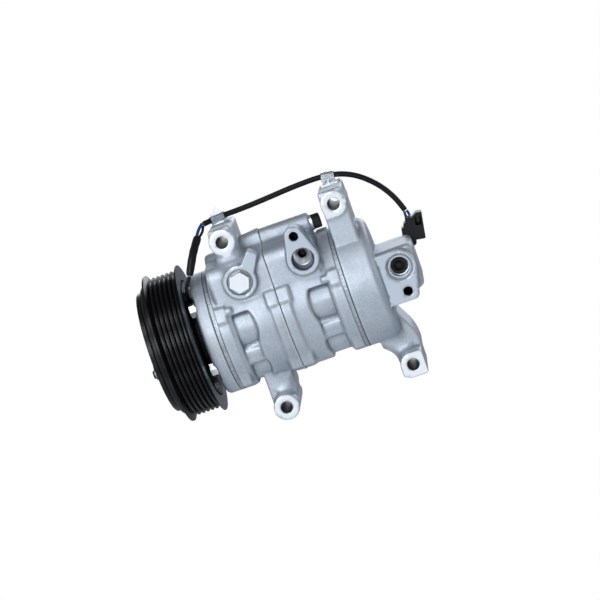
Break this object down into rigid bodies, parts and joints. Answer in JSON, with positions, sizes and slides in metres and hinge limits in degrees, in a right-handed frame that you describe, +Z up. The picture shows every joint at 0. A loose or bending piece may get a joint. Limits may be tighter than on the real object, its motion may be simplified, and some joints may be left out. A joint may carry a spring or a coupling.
{
  "type": "automotive ac compressor",
  "caption": "Fixed-displacement swash-plate air conditioning compressor with ribbed belt pulley, electromagnetic clutch, cast lugs, ports and a clipped clutch cable.",
  "frame": {"origin": "on the shaft axis, in the middle plane of the belt grooves", "axes": "+X along the shaft from the clutch to the rear head, Y along the four mounting bores with the port side at -Y, +Z up towards the upper lugs"},
  "size_m": [0.2247, 0.114, 0.1627],
  "materials": {
    "cast_aluminium": "as cast, fine matt grain, bright where machined",
    "clutch_black": "satin black paint",
    "zinc_steel": "bright zinc plated",
    "bearing_steel": "ground",
    "spring_steel": "blued, satin",
    "piston_alloy": "machined and coated",
    "gasket_black": "rubber-coated sheet",
    "seal_rubber": "matt",
    "copper_wire": "enamelled winding wire",
    "coil_resin": "cast resin",
    "black_plastic": "moulded, fine texture",
    "jacket_black": "smooth cable jacket",
    "wire_blue": "insulation"
  },
  "bodies": {
    "compressor": {"front_housing": "cast_aluminium", "front_gasket": "gasket_black", "front_valve_plate": "bearing_steel", "front_reed_disc": "spring_steel", "rear_reed_disc": "spring_steel", "rear_valve_plate": "bearing_steel", "rear_gasket": "gasket_black", "front_cylinder_block": "cast_aluminium", "rear_cylinder_block": "cast_aluminium", "block_seal": "seal_rubber", "rear_head": "cast_aluminium", "through_bolts": "zinc_steel", "bolt_washers": "zinc_steel", "oil_plug_washer": "zinc_steel", "oil_plug": "zinc_steel", "relief_valve": "zinc_steel", "relief_valve_cap": "black_plastic", "suction_sleeve": "zinc_steel", "suction_check_valve": "black_plastic", "front_thrust_bearing": "bearing_steel", "rear_thrust_bearing": "bearing_steel", "front_needle_bearing": "bearing_steel", "rear_needle_bearing": "bearing_steel", "shaft_seal": "seal_rubber", "seal_snap_ring": "spring_steel", "pulley_bearing_inner": "bearing_steel", "pulley_snap_ring": "spring_steel", "coil_housing": "clutch_black", "coil_winding": "copper_wire", "coil_potting": "coil_resin", "coil_snap_ring": "spring_steel", "harness_lead": "jacket_black", "harness_sleeve": "jacket_black", "harness_cable": "jacket_black", "harness_wires": "wire_blue", "cable_clip_front": "zinc_steel", "cable_clip_rear": "zinc_steel", "clip_screws": "zinc_steel", "connector": "black_plastic", "connector_bracket": "zinc_steel"},
    "pulley": {"pulley": "clutch_black", "pulley_bearing_outer": "bearing_steel", "pulley_bearing_balls": "bearing_steel"},
    "shaft": {"shaft": "bearing_steel", "swash_plate": "bearing_steel", "clutch_hub": "clutch_black", "hub_bolt": "zinc_steel"},
    "armature": {"armature_plate": "clutch_black", "leaf_springs": "spring_steel", "clutch_rivets": "zinc_steel"},
    "piston_1": {"piston_1": "piston_alloy", "piston_shoes_1": "bearing_steel"},
    "piston_2": {"piston_2": "piston_alloy", "piston_shoes_2": "bearing_steel"},
    "piston_3": {"piston_3": "piston_alloy", "piston_shoes_3": "bearing_steel"},
    "piston_4": {"piston_4": "piston_alloy", "piston_shoes_4": "bearing_steel"},
    "piston_5": {"piston_5": "piston_alloy", "piston_shoes_5": "bearing_steel"}
  },
  "joints": [
    {"name": "pulley_spin", "type": "hinge", "parent": "compressor", "child": "pulley", "pos_m": [0, 0, 0], "axis": [1, 0, 0], "continuous": true},
    {"name": "shaft_spin", "type": "hinge", "parent": "compressor", "child": "shaft", "pos_m": [0, 0, 0], "axis": [1, 0, 0], "continuous": true},
    {"name": "armature_engage", "type": "slide", "parent": "shaft", "child": "armature", "axis": [1, 0, 0], "range_m": [0, 0.00045], "stiffness_N_per_m": 9000},
    {"name": "piston_1_stroke", "type": "slide", "parent": "compressor", "child": "piston_1", "axis": [1, 0, 0], "range_m": [-0.00775, 0.00875]},
    {"name": "piston_2_stroke", "type": "slide", "parent": "compressor", "child": "piston_2", "axis": [1, 0, 0], "range_m": [-0.00026, 0.01624]},
    {"name": "piston_3_stroke", "type": "slide", "parent": "compressor", "child": "piston_3", "axis": [1, 0, 0], "range_m": [-0.00382, 0.01268]},
    {"name": "piston_4_stroke", "type": "slide", "parent": "compressor", "child": "piston_4", "axis": [1, 0, 0], "range_m": [-0.0135, 0.003]},
    {"name": "piston_5_stroke", "type": "slide", "parent": "compressor", "child": "piston_5", "axis": [1, 0, 0], "range_m": [-0.01593, 0.00057]}
  ]
}
